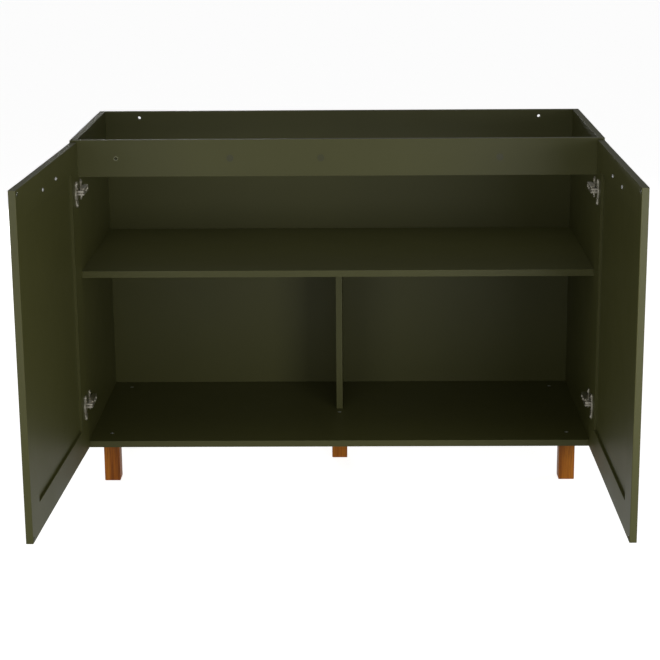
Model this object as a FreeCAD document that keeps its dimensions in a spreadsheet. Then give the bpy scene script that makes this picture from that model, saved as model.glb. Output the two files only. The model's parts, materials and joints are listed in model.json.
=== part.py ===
"""A sink base cabinet: a wide box on five wooden legs, open at the top for a sink bowl, with one
fixed shelf, one divider and two framed doors on concealed hinges.

Millimetres, +Z up. +X is to the right and +Y to the back, seen from the front. The origin is the
middle of the centre leg's foot, on the floor. The doors stand open, as they are drawn.
"""
import FreeCAD, Part
import math
import os
import re

import Sketcher
from FreeCAD import Placement, Rotation, Vector

SIZES = {
    # carcass boards
    "cabinet_width": 1200,
    "cabinet_depth": 480,
    "cabinet_height": 822,
    "board": 15,
    "leg_height": 97,
    "shelf_level": 520,
    "front_rail_height": 83,
    "rear_rail_height": 83,
    "divider_setback": 246,
    "back_thickness": 3,
    "back_margin": 2,
    "back_overlap": 30,
    # legs and the screws that hold them
    "leg_side": 37,
    "leg_side_inset": 43.5,
    "leg_front_inset": 40.5,
    "leg_rear_inset": 27.5,
    "centre_leg_setback": 201,
    "leg_chamfer": 1.5,
    "leg_screw_radius": 2.5,
    "leg_screw_head_radius": 5,
    "leg_screw_head_depth": 3,
    "leg_screw_length": 60,
    # dowels, cam locks and cam bolts of the carcass
    "dowel_radius": 4,
    "dowel_in_side": 10,
    "dowel_in_board": 20,
    "cam_radius": 7.5,
    "cam_depth": 12.5,
    "cam_distance": 24,
    "cam_slot_width": 1.6,
    "cam_slot_depth": 2,
    "bolt_radius": 3,
    "bolt_in_side": 10,
    "bolt_in_cam": 3,
    "cam_row": 120,
    "dowel_row": 90,
    "rail_dowel_drop": 20,
    "rail_cam_drop": 58,
    # holes in the rails
    "rail_hole_radius": 4,
    "open_hole_place": 497,
    "cap_place_left": 240,
    "cap_place_middle": 36,
    "cap_place_right": 366,
    "rail_hole_drop": 42,
    "cap_radius": 8,
    "cap_thickness": 0.8,
    "cap_stem_length": 8,
    "wall_hole_radius": 4,
    "wall_hole_place": 500,
    "wall_hole_drop": 16,
    # nails of the back panel
    "nail_radius": 0.8,
    "nail_head_radius": 2.5,
    "nail_head_height": 0.6,
    "nail_depth": 14,
    # doors
    "door_thickness": 15,
    "door_drop": 4,
    "door_base_rise": 1,
    "door_reveal": 1.5,
    "door_middle_gap": 3,
    "door_front_gap": 3,
    "door_edge_round": 1.5,
    "left_open_angle": 92.3,
    "right_open_angle": 90.3,
    "stile_width": 72,
    "door_rail_width": 62,
    "panel_thickness": 4,
    "panel_recess": 6,
    "groove_depth": 9,
    "panel_play": 1,
    "bumper_radius": 4.5,
    "bumper_height": 2.7,
    "bumper_edge": 8,
    # handles
    "handle_centres": 128,
    "handle_drop": 41,
    "handle_reach": 30,
    "handle_radius": 5,
    "handle_bend": 12,
    "handle_screw_radius": 2,
    "handle_screw_head_radius": 4,
    "handle_screw_head_height": 2.2,
    "handle_screw_grip": 10,
    # concealed hinges
    "hinge_high_drop": 114,
    "hinge_low_rise": 105,
    "cup_radius": 17.5,
    "cup_depth": 11.5,
    "cup_wall": 1,
    "cup_rim": 1.5,
    "cup_edge": 3,
    "cup_boss_start": 7.5,
    "cup_boss_reach": 8,
    "cup_notch": 5.5,
    "flange_height": 60,
    "flange_width": 18,
    "flange_thickness": 2.4,
    "flange_offset": 3,
    "flange_corner": 8,
    "cup_screw_spacing": 48,
    "cup_screw_offset": 6,
    "cup_screw_radius": 1.8,
    "cup_screw_head_radius": 3.5,
    "cup_screw_head_height": 1.2,
    "cup_screw_length": 11,
    "pin_inset": 7.5,
    "pin_depth": 7.5,
    "pin_radius": 1,
    "pin_length": 20,
    "pin_clearance": 0.05,
    "knuckle_radius": 2,
    "knuckle_width": 10,
    "arm_start": 19.7,
    "arm_top": 29,
    "arm_width": 16,
    "arm_wall": 1.5,
    "arm_round": 2,
    "arm_length": 60,
    "arm_nose": 2,
    "link_thickness": 3,
    "link_gap": 2,
    "plate_setback": 37,
    "plate_wing_thickness": 2,
    "plate_wing_width": 12,
    "plate_wing_height": 48,
    "plate_wing_corner": 5,
    "plate_rib_height": 9,
    "plate_rib_start": 22,
    "plate_rib_length": 36,
    "plate_clearance": 0.3,
    "plate_screw_spacing": 32,
    "plate_screw_radius": 2.5,
    "plate_screw_head_radius": 4,
    "plate_screw_head_height": 1.5,
    "plate_screw_length": 12,
    "adjuster_front": 29,
    "adjuster_rear": 50,
    "adjuster_radius": 2.5,
    "adjuster_head_radius": 4,
    "adjuster_head_height": 1.5,
    "adjuster_grip": 5,
    "recess_radius": 1.5,
    "recess_depth": 0.9,
}

# Places and sizes that follow from the driving sizes. Depths run from the front edges backwards.
FORMULAS = {
    "front": "-(centre_leg_setback + leg_side / 2)",
    "back": "front + cabinet_depth",
    "inside_half": "cabinet_width / 2 - board",
    "inside_width": "cabinet_width - 2 * board",
    "floor_top": "leg_height + board",
    "shelf_base": "shelf_level - board",
    "front_rail_base": "cabinet_height - front_rail_height",
    "rear_rail_base": "cabinet_height - rear_rail_height",
    "back_base": "leg_height + back_margin",
    "back_top": "rear_rail_base + back_overlap",
    "leg_middle": "cabinet_width / 2 - leg_side_inset - leg_side / 2",
    "door_base": "leg_height + door_base_rise",
    "door_top": "cabinet_height - door_drop",
    "door_height": "door_top - door_base",
    "door_width": "(cabinet_width - door_middle_gap) / 2 - door_reveal",
    "pin_x": "cabinet_width / 2 - door_reveal - pin_inset",
    "pin_y": "front - door_front_gap - pin_depth",
    "door_inner": "pin_depth",
    "door_outer": "pin_depth - door_thickness",
    "panel_inner": "door_inner - panel_recess",
    "hinge_edge": "-pin_inset",
    "free_edge": "door_width - pin_inset",
    "clear_start": "hinge_edge + stile_width",
    "clear_end": "free_edge - stile_width",
    "handle_middle": "hinge_edge + door_width / 2",
    "handle_level": "door_top - handle_drop",
    "cup_middle": "hinge_edge + cup_edge + cup_radius",
    "hinge_high": "door_top - hinge_high_drop",
    "hinge_low": "door_base + hinge_low_rise",
}

SIDES = {"left": 1, "right": -1}
LEVELS = {"upper": "hinge_high", "lower": "hinge_low"}
UP, DOWN = Vector(0, 0, 1), Vector(0, 0, -1)
FORWARD, BACKWARD = Vector(0, -1, 0), Vector(0, 1, 0)
RIGHTWARD, LEFTWARD = Vector(1, 0, 0), Vector(-1, 0, 0)
FLAT, FRONTAL, UPRIGHT = "XY_Plane", "XZ_Plane", "YZ_Plane"

# How near two places count as one
TOUCH = 1e-6

doc = FreeCAD.newDocument("sink_base_cabinet")
sheet = doc.addObject("Spreadsheet::Sheet", "Sizes")
parts = {}


# ---------------------------------------------------------------- expressions and small helpers

def formula(text):
    """Turn words from SIZES and FORMULAS into an expression that reads the spreadsheet."""
    def word(match):
        name = match.group()
        if name in FORMULAS:
            return f"({formula(FORMULAS[name])})"
        return f"Sizes.{name}" if name in SIZES else name
    return re.sub(r"[a-z_]+", word, text)


def bind(thing, path, text):
    """Bind one property of an object to a formula."""
    thing.setExpression(path, formula(text))


def value(text):
    """What a formula comes to now, for a sketch to be drawn near its place."""
    return float(sheet.evalExpression(formula(text)))


def place(thing, x, y, z):
    """Bind where an object starts."""
    for axis, text in zip("xyz", (x, y, z)):
        bind(thing, f"Placement.Base.{axis}", text)


def start(side, low, size):
    """The lowest X of something that starts at low and has this size, mirrored for a right side."""
    return low if side > 0 else f"-({low}) - ({size})"


def at(side, place_x):
    """An X place, mirrored for a right side."""
    return place_x if side > 0 else f"-({place_x})"


def box(name, x, y, z, length, width, height):
    """A box from its lowest corner and its sizes along X, Y and Z."""
    solid = doc.addObject("Part::Box", name)
    for path, text in (("Length", length), ("Width", width), ("Height", height)):
        bind(solid, path, text)
    place(solid, x, y, z)
    return solid


def cylinder(name, x, y, z, direction, radius, height):
    """A round bar from the centre of its first face."""
    solid = doc.addObject("Part::Cylinder", name)
    solid.Placement = Placement(Vector(), Rotation(UP, direction))
    bind(solid, "Radius", radius)
    bind(solid, "Height", height)
    place(solid, x, y, z)
    return solid


def cone(name, x, y, z, direction, first, last, height):
    """A cone from the centre of its first face."""
    solid = doc.addObject("Part::Cone", name)
    solid.Placement = Placement(Vector(), Rotation(UP, direction))
    for path, text in (("Radius1", first), ("Radius2", last), ("Height", height)):
        bind(solid, path, text)
    place(solid, x, y, z)
    return solid


def fuse(name, solids):
    """Several solids as one."""
    if len(solids) == 1:
        return solids[0]
    result = doc.addObject("Part::MultiFuse", name)
    result.Shapes = solids
    return result


def cut(name, base, tools):
    """A solid with others taken out of it."""
    if not tools:
        return base
    result = doc.addObject("Part::Cut", name)
    result.Base = base
    result.Tool = fuse(f"{name}_tools", tools)
    return result


def group(name, solids):
    """Separate solids that share one node."""
    result = doc.addObject("Part::Compound", name)
    result.Links = solids
    return result


def keep(name, thing):
    """Give a finished sub-part the name that its file gets."""
    thing.Label = name
    parts[name] = thing
    return thing


def origin_plane(body, role):
    """One of a body's own origin planes."""
    return next(plane for plane in body.Origin.OriginFeatures if plane.Role == role)


def sketch_on(body, role, offset, name):
    """A sketch on one of the body's own planes, moved along that plane's normal."""
    sketch = body.newObject("Sketcher::SketchObject", name)
    sketch.AttachmentSupport = [(origin_plane(body, role), "")]
    sketch.MapMode = "FlatFace"
    bind(sketch, "AttachmentOffset.Base.z", offset)
    return sketch


def rectangle(sketch, low_across, low_up, across, up):
    """A rectangle whose corner and sizes are bound to formulas."""
    left, low = value(low_across), value(low_up)
    right, high = left + value(across), low + value(up)
    corners = [Vector(left, low, 0), Vector(right, low, 0), Vector(right, high, 0), Vector(left, high, 0)]
    for index, corner in enumerate(corners):
        sketch.addGeometry(Part.LineSegment(corner, corners[(index + 1) % 4]))
    for index in range(4):
        sketch.addConstraint(Sketcher.Constraint("Coincident", index, 2, (index + 1) % 4, 1))
        sketch.addConstraint(Sketcher.Constraint("Vertical" if index % 2 else "Horizontal", index))
    driven = (("DistanceX", (-1, 1, 0, 1), low_across), ("DistanceY", (-1, 1, 0, 1), low_up),
              ("DistanceX", (0, 1, 0, 2), across), ("DistanceY", (1, 1, 1, 2), up))
    for kind, points, text in driven:
        number = sketch.addConstraint(Sketcher.Constraint(kind, *points, value(text)))
        bind(sketch, f"Constraints[{number}]", text)
    return sketch


def pad(body, sketch, length, reverse=False):
    """Extrude a sketch, along its normal or against it."""
    result = body.newObject("PartDesign::Pad", f"{sketch.Name}_pad")
    result.Profile = sketch
    result.Reversed = reverse
    bind(result, "Length", length)
    sketch.Visibility = False
    return result


def pocket(body, sketch, length, reverse=False):
    """Cut a sketch into a body, and make sure that it takes something away."""
    doc.recompute()
    before = body.Shape.Volume
    result = body.newObject("PartDesign::Pocket", f"{sketch.Name}_pocket")
    result.Profile = sketch
    result.Reversed = reverse
    bind(result, "Length", length)
    doc.recompute()
    if body.Shape.Volume >= before:
        raise RuntimeError(f"{sketch.Name} cuts nothing")
    return result


def board(name, plane, across, up, begin, thickness):
    """A flat board: a rectangle on one of its own planes, padded by its thickness.

    across and up are pairs of a lowest place and a size. begin is where the thickness starts,
    along +Z, +Y or +X.
    """
    body = doc.addObject("PartDesign::Body", name)
    frontal = plane == FRONTAL
    offset = f"-({begin})" if frontal else begin
    sketch = sketch_on(body, plane, offset, f"{name}_outline")
    rectangle(sketch, across[0], up[0], across[1], up[1])
    pad(body, sketch, thickness, reverse=frontal)
    return body


def soften(body, size_name, wanted, kind="PartDesign::Fillet"):
    """Round or chamfer the edges of a body whose middle and direction pass a test."""
    doc.recompute()
    base = body.Tip
    names = [f"Edge{index}" for index, edge in enumerate(base.Shape.Edges, 1) if wanted(edge)]
    result = body.newObject(kind, f"{body.Name}_edges")
    result.Base = (base, names)
    bind(result, "Radius" if kind == "PartDesign::Fillet" else "Size", size_name)
    return result


def runs_along(edge, direction):
    """Whether a straight edge is parallel to a direction."""
    first, last = edge.Vertexes[0].Point, edge.Vertexes[-1].Point
    return (last - first).cross(direction).Length < TOUCH


# ---------------------------------------------------------------- carcass joints

def side_joint(name, side, y, z, cam_direction):
    """A dowel, or a cam bolt with its lock, across the joint between a side panel and a board.

    cam_direction is the way from the cam's open face into the board; without it, it is a dowel.
    """
    joint = at(side, "-inside_half")
    outward = LEFTWARD if side > 0 else RIGHTWARD
    inward = RIGHTWARD if side > 0 else LEFTWARD
    if cam_direction is None:
        outer = at(side, "-inside_half - dowel_in_side")
        return cylinder(name, outer, y, z, inward, "dowel_radius", "dowel_in_side + dowel_in_board"), None
    outer = at(side, "-inside_half - bolt_in_side")
    bolt = cylinder(f"{name}_bolt", outer, y, z, inward, "bolt_radius",
                    "bolt_in_side + cam_distance - cam_radius + bolt_in_cam")
    middle = at(side, "-inside_half + cam_distance")
    mouth_y, mouth_z = (f"{y} + board / 2", z) if cam_direction == FORWARD else (y, f"{z} - board / 2")
    lock = cylinder(f"{name}_lock", middle, mouth_y, mouth_z, cam_direction, "cam_radius", "cam_depth")
    return bolt, lock


def cam_slot(name, lock_x, y, z, cam_direction):
    """The screwdriver slot in a cam lock's open face."""
    along = f"{lock_x} - cam_radius"
    if cam_direction == FORWARD:
        return box(name, along, f"{y} + board / 2 - cam_slot_depth", f"{z} - cam_slot_width / 2",
                   "2 * cam_radius", "cam_slot_depth", "cam_slot_width")
    return box(name, along, f"{y} - cam_slot_width / 2", f"{z} - board / 2",
               "2 * cam_radius", "cam_slot_width", "cam_slot_depth")


def carcass_joints():
    """Every dowel, cam bolt and cam lock, and what each board is bored with."""
    rows = {
        "bottom_panel": [("cam_row", UP), ("cabinet_depth - cam_row", UP),
                         ("dowel_row", None), ("cabinet_depth - dowel_row", None)],
        "shelf": [("cam_row", UP), ("cabinet_depth - cam_row", UP),
                  ("dowel_row", None), ("cabinet_depth - dowel_row", None)],
    }
    levels = {"bottom_panel": "floor_top - board / 2", "shelf": "shelf_base + board / 2"}
    rails = {"front_rail": "front + board / 2", "rear_rail": "back - board / 2"}
    joints = []
    for host, entries in rows.items():
        for number, (setback, direction) in enumerate(entries):
            joints.append((host, number, f"front + {setback}", levels[host], direction))
    for host, y in rails.items():
        for number, (drop, direction) in enumerate((("rail_cam_drop", FORWARD),
                                                    ("rail_dowel_drop", None))):
            joints.append((host, number, y, f"cabinet_height - {drop}", direction))
    bores = {host: [] for host in ("side_panel_left", "side_panel_right", *rows, *rails)}
    dowels, bolts, locks = [], [], []
    for side_name, side in SIDES.items():
        for host, number, y, z, direction in joints:
            name = f"{host}_{side_name}_{number}"
            bar, lock = side_joint(name, side, y, z, direction)
            bores[f"side_panel_{side_name}"].append(bar)
            bores[host].append(bar)
            if lock is None:
                dowels.append(bar)
                continue
            middle = at(side, "-inside_half + cam_distance")
            slot = cam_slot(f"{name}_slot", middle, y, z, direction)
            bolts.append(bar)
            bores[host].append(lock)
            locks.append(cut(f"{name}_cam", lock, [slot, bar]))
    return bores, dowels, bolts, locks


def divider_dowels():
    """Upright dowels that hold the divider to the bottom panel and to the shelf."""
    dowels = {"bottom_panel": [], "shelf": []}
    for number, share in enumerate(("1 / 4", "3 / 4")):
        y = f"front + divider_setback + (cabinet_depth - divider_setback) * {share}"
        dowels["bottom_panel"].append(
            cylinder(f"divider_low_dowel_{number}", "0", y, "floor_top - dowel_in_side", UP,
                     "dowel_radius", "dowel_in_side + dowel_in_board"))
        dowels["shelf"].append(
            cylinder(f"divider_high_dowel_{number}", "0", y, "shelf_base + dowel_in_side", DOWN,
                     "dowel_radius", "dowel_in_side + dowel_in_board"))
    return dowels


# ---------------------------------------------------------------- legs

def leg_places():
    """Each leg's name and the centre of its foot."""
    places = {}
    for side_name, side in SIDES.items():
        x = at(side, "-leg_middle")
        places[f"leg_front_{side_name}"] = (x, "front + leg_front_inset + leg_side / 2")
        places[f"leg_rear_{side_name}"] = (x, "back - leg_rear_inset - leg_side / 2")
    places["leg_centre"] = ("0", "front + centre_leg_setback + leg_side / 2")
    return places


def make_leg(name, x, y):
    """A square wooden leg, its foot chamfered, and the countersunk screw that holds it."""
    body = doc.addObject("PartDesign::Body", f"{name}_block")
    sketch = sketch_on(body, FLAT, "0", f"{name}_section")
    rectangle(sketch, f"{x} - leg_side / 2", f"{y} - leg_side / 2", "leg_side", "leg_side")
    pad(body, sketch, "leg_height")
    soften(body, "leg_chamfer", lambda edge: edge.BoundBox.ZMax < TOUCH, "PartDesign::Chamfer")
    head = cone(f"{name}_screw_head", x, y, "floor_top", DOWN,
                "leg_screw_head_radius", "leg_screw_radius", "leg_screw_head_depth")
    shank = cylinder(f"{name}_screw_shank", x, y, "floor_top", DOWN,
                     "leg_screw_radius", "leg_screw_length")
    bore = fuse(f"{name}_bore", [head, shank])
    recess = cylinder(f"{name}_screw_recess", x, y, "floor_top", DOWN, "recess_radius", "recess_depth")
    screw = cut(f"{name}_screw", bore, [recess])
    keep(name, cut(f"{name}_bored", body, [bore]))
    return bore, screw


# ---------------------------------------------------------------- carcass

def rail_openings():
    """The through holes of both rails, and the push-in caps in three of the front ones."""
    level = "cabinet_height - rail_hole_drop"
    front_holes, caps = [], []
    front_holes.append(cylinder("open_hole", "-open_hole_place", "front", level, BACKWARD,
                                "rail_hole_radius", "board"))
    places = (("left", "-cap_place_left"), ("middle", "-cap_place_middle"), ("right", "cap_place_right"))
    for name, x in places:
        front_holes.append(cylinder(f"cap_hole_{name}", x, "front", level, BACKWARD,
                                    "rail_hole_radius", "board"))
        head = cylinder(f"cap_head_{name}", x, "front", level, FORWARD, "cap_radius", "cap_thickness")
        stem = cylinder(f"cap_stem_{name}", x, "front", level, BACKWARD,
                        "rail_hole_radius", "cap_stem_length")
        caps.append(fuse(f"cap_{name}", [head, stem]))
    wall_holes = [cylinder(f"wall_hole_{name}", x, "back - board", "cabinet_height - wall_hole_drop",
                           BACKWARD, "wall_hole_radius", "board")
                  for name, x in (("left", "-wall_hole_place"), ("right", "wall_hole_place"))]
    return front_holes, caps, wall_holes


def nail_places():
    """Where the back panel is nailed: up both sides, along the bottom, the shelf and the divider."""
    upright_count, level_count, divider_count = 7, 6, 3
    places = []
    for x in ("-cabinet_width / 2 + board / 2", "cabinet_width / 2 - board / 2"):
        for step in range(upright_count):
            share = f"{step} / {upright_count - 1}"
            places.append((x, f"back_base + board + (back_top - back_base - 2 * board) * {share}"))
    for z in ("floor_top - board / 2", "shelf_base + board / 2"):
        for step in range(level_count):
            x = f"inside_width * ({step} + 0.5) / {level_count} - inside_half"
            places.append((x, z))
    for step in range(divider_count):
        share = f"({step} + 0.5) / {divider_count}"
        places.append(("0", f"floor_top + (shelf_base - floor_top) * {share}"))
    return places


def make_nails():
    """Small round-headed nails through the back panel."""
    heads, shanks = [], []
    for number, (x, z) in enumerate(nail_places()):
        heads.append(cylinder(f"nail_{number}_head", x, "back + back_thickness", z, BACKWARD,
                              "nail_head_radius", "nail_head_height"))
        shanks.append(cylinder(f"nail_{number}_shank", x, "back + back_thickness", z, FORWARD,
                               "nail_radius", "back_thickness + nail_depth"))
    keep("back_panel_nails", group("nails", [fuse(f"nail_{number}", list(pair))
                                             for number, pair in enumerate(zip(heads, shanks))]))
    return shanks


def make_carcass():
    """The boards, what joins them, the legs, the caps and the back."""
    bores, dowels, bolts, locks = carcass_joints()
    upright = divider_dowels()
    nails = make_nails()
    front_holes, caps, wall_holes = rail_openings()
    leg_bores, leg_screws = [], []
    for name, (x, y) in leg_places().items():
        bore, screw = make_leg(name, x, y)
        leg_bores.append(bore)
        leg_screws.append(screw)
    plate_screws = make_side_hinges()

    depth = ("front", "cabinet_depth")
    side_height = ("leg_height", "cabinet_height - leg_height")
    inside = ("-inside_half", "inside_width")
    for side_name, side in SIDES.items():
        panel = board(f"side_{side_name}_board", UPRIGHT, depth, side_height,
                      start(side, "-cabinet_width / 2", "board"), "board")
        tools = bores[f"side_panel_{side_name}"] + plate_screws[side_name] + nails
        keep(f"side_panel_{side_name}", cut(f"side_{side_name}_bored", panel, tools))

    bottom = board("bottom_board", FLAT, inside, depth, "leg_height", "board")
    keep("bottom_panel", cut("bottom_bored", bottom,
                             bores["bottom_panel"] + upright["bottom_panel"] + leg_bores + nails))
    shelf = board("shelf_board", FLAT, inside, depth, "shelf_base", "board")
    keep("shelf", cut("shelf_bored", shelf, bores["shelf"] + upright["shelf"] + nails))
    divider = board("divider_board", UPRIGHT,
                    ("front + divider_setback", "cabinet_depth - divider_setback"),
                    ("floor_top", "shelf_base - floor_top"), "-board / 2", "board")
    keep("centre_divider", cut("divider_bored", divider,
                               upright["bottom_panel"] + upright["shelf"] + nails))
    front_rail = board("front_rail_board", FRONTAL, inside,
                       ("front_rail_base", "front_rail_height"), "front", "board")
    keep("front_rail", cut("front_rail_bored", front_rail, bores["front_rail"] + front_holes))
    rear_rail = board("rear_rail_board", FRONTAL, inside,
                      ("rear_rail_base", "rear_rail_height"), "back - board", "board")
    keep("rear_rail", cut("rear_rail_bored", rear_rail, bores["rear_rail"] + wall_holes))
    back = board("back_board", FRONTAL,
                 ("-cabinet_width / 2 + back_margin", "cabinet_width - 2 * back_margin"),
                 ("back_base", "back_top - back_base"), "back", "back_thickness")
    keep("back_panel", cut("back_nailed", back, nails))

    keep("leg_screws", group("leg_screw_set", leg_screws))
    keep("dowels", group("dowel_set", dowels + upright["bottom_panel"] + upright["shelf"]))
    keep("cam_bolts", group("cam_bolt_set", bolts))
    keep("cam_locks", group("cam_lock_set", locks))
    keep("rail_hole_caps", group("cap_set", caps))


# ---------------------------------------------------------------- hinges, on the side panels

def across_side(side, name, low, size, y, z, width, height):
    """A box whose X runs from the side panel's outer face inwards."""
    return box(name, start(side, f"-cabinet_width / 2 + {low}", size), y, z, size, width, height)


def make_plate(side_name, side, level_name, level):
    """The mounting plate: a rib that the arm clips over, and two wings with a screw hole each."""
    name = f"hinge_plate_{level_name}_{side_name}"
    inward = RIGHTWARD if side > 0 else LEFTWARD
    rib_width = "arm_width - 2 * arm_wall - 2 * plate_clearance"
    rib = across_side(side, f"{name}_rib", "board", "plate_rib_height", "front + plate_rib_start",
                      f"{level} - ({rib_width}) / 2", "plate_rib_length", rib_width)
    wings = board(f"{name}_wings", UPRIGHT,
                  ("front + plate_setback - plate_wing_width / 2", "plate_wing_width"),
                  (f"{level} - plate_wing_height / 2", "plate_wing_height"),
                  start(side, "-inside_half", "plate_wing_thickness"), "plate_wing_thickness")
    soften(wings, "plate_wing_corner", lambda edge: runs_along(edge, RIGHTWARD))
    shanks, screws = [], []
    for end, sign in (("low", "-"), ("high", "+")):
        z = f"{level} {sign} plate_screw_spacing / 2"
        y = "front + plate_setback"
        x = at(side, "-inside_half + plate_wing_thickness")
        outward = LEFTWARD if side > 0 else RIGHTWARD
        shank = cylinder(f"{name}_{end}_shank", x, y, z, outward, "plate_screw_radius",
                         "plate_screw_length")
        head = cylinder(f"{name}_{end}_head", x, y, z, inward, "plate_screw_head_radius",
                        "plate_screw_head_height")
        recess = cylinder(f"{name}_{end}_recess",
                          at(side, "-inside_half + plate_wing_thickness + plate_screw_head_height"),
                          y, z, outward, "recess_radius", "recess_depth")
        shanks.append(shank)
        screws.append(cut(f"{name}_{end}_screw", fuse(f"{name}_{end}_blank", [head, shank]), [recess]))
    blank = fuse(f"{name}_blank", [rib, wings])
    return blank, shanks, screws


def make_arm(side_name, side, level_name, level):
    """The hinge arm: a channel over the plate, with two flat links forward to the knuckle on the pin."""
    name = f"hinge_arm_{level_name}_{side_name}"
    low = f"{level} - arm_width / 2"
    hook_start = "door_reveal + pin_inset"
    channel = board(f"{name}_channel", UPRIGHT,
                    ("front + arm_nose", "arm_length - arm_nose"), (low, "arm_width"),
                    start(side, "-cabinet_width / 2 + arm_start", "arm_top - arm_start"),
                    "arm_top - arm_start")
    roof, nose = at(side, "-cabinet_width / 2 + arm_top"), value("front + arm_nose")
    soften(channel, "arm_round",
           lambda edge: abs(edge.CenterOfMass.x - value(roof)) < TOUCH and edge.CenterOfMass.y > nose + TOUCH)
    hook = across_side(side, f"{name}_hook", hook_start, f"arm_top - ({hook_start})",
                       "pin_y - knuckle_radius", f"{level} - knuckle_width / 2",
                       "2 * knuckle_radius", "knuckle_width")
    neck = across_side(side, f"{name}_neck", "arm_top - link_thickness", "link_thickness",
                       "pin_y - knuckle_radius", f"{level} - knuckle_width / 2",
                       "front + arm_nose + arm_wall - pin_y + knuckle_radius", "knuckle_width")
    parting = across_side(side, f"{name}_parting", f"{hook_start} + 2 * knuckle_radius",
                          f"arm_top - ({hook_start}) - 2 * knuckle_radius", "pin_y - knuckle_radius",
                          f"{level} - link_gap / 2", "front + arm_nose - pin_y + knuckle_radius",
                          "link_gap")
    knuckle = cylinder(f"{name}_knuckle", at(side, "-pin_x"), "pin_y", f"{level} - knuckle_width / 2",
                       UP, "knuckle_radius", "knuckle_width")
    hollow = across_side(side, f"{name}_hollow", "arm_start", "arm_top - arm_start - arm_wall",
                         "front + arm_nose + arm_wall", f"{low} + arm_wall",
                         "arm_length", "arm_width - 2 * arm_wall")
    bore = cylinder(f"{name}_bore", at(side, "-pin_x"), "pin_y", f"{level} - knuckle_width / 2",
                    UP, "pin_radius + pin_clearance", "knuckle_width")
    outward = LEFTWARD if side > 0 else RIGHTWARD
    inward = RIGHTWARD if side > 0 else LEFTWARD
    shanks, screws = [], []
    for end, setback in (("front", "adjuster_front"), ("rear", "adjuster_rear")):
        y = f"front + {setback}"
        shank = cylinder(f"{name}_{end}_shank", roof, y, level, outward, "adjuster_radius",
                         "arm_top - board - plate_rib_height + adjuster_grip")
        head = cylinder(f"{name}_{end}_head", roof, y, level, inward, "adjuster_head_radius",
                        "adjuster_head_height")
        recess = cylinder(f"{name}_{end}_recess",
                          at(side, "-cabinet_width / 2 + arm_top + adjuster_head_height"), y, level,
                          outward, "recess_radius", "recess_depth")
        shanks.append(shank)
        screws.append(cut(f"{name}_{end}_screw", fuse(f"{name}_{end}_blank", [head, shank]), [recess]))
    blank = fuse(f"{name}_blank", [channel, hook, neck, knuckle])
    keep(name, cut(f"{name}_made", blank, [hollow, bore, parting] + shanks))
    return shanks, screws


def make_side_hinges():
    """Plates, arms and their screws on both sides; returns what each side panel is drilled with."""
    drilled = {}
    for side_name, side in SIDES.items():
        plate_screws, adjusters, drilled[side_name] = [], [], []
        for level_name, level in LEVELS.items():
            blank, shanks, screws = make_plate(side_name, side, level_name, level)
            arm_shanks, arm_screws = make_arm(side_name, side, level_name, level)
            name = f"hinge_plate_{level_name}_{side_name}"
            keep(name, cut(f"{name}_made", blank, shanks + arm_shanks))
            drilled[side_name] += shanks
            plate_screws += screws
            adjusters += arm_screws
        keep(f"hinge_plate_screws_{side_name}", group(f"plate_screws_{side_name}", plate_screws))
        keep(f"hinge_adjusters_{side_name}", group(f"adjusters_{side_name}", adjusters))
    return drilled


# ---------------------------------------------------------------- doors, drawn about the hinge pin

def hang(side_name, name, thing):
    """Hang a finished door piece on its hinge pin, open by that door's angle."""
    side = SIDES[side_name]
    thing.Placement = Placement(Vector(), Rotation(UP, 1))
    place(thing, at(side, "-pin_x"), "pin_y", "0")
    bind(thing, "Placement.Rotation.Angle", f"{side_name}_open_angle")
    if side > 0:
        thing.Placement = Placement(Vector(), Rotation(DOWN, 1))
    return keep(f"{name}_{side_name}", thing)


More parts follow.
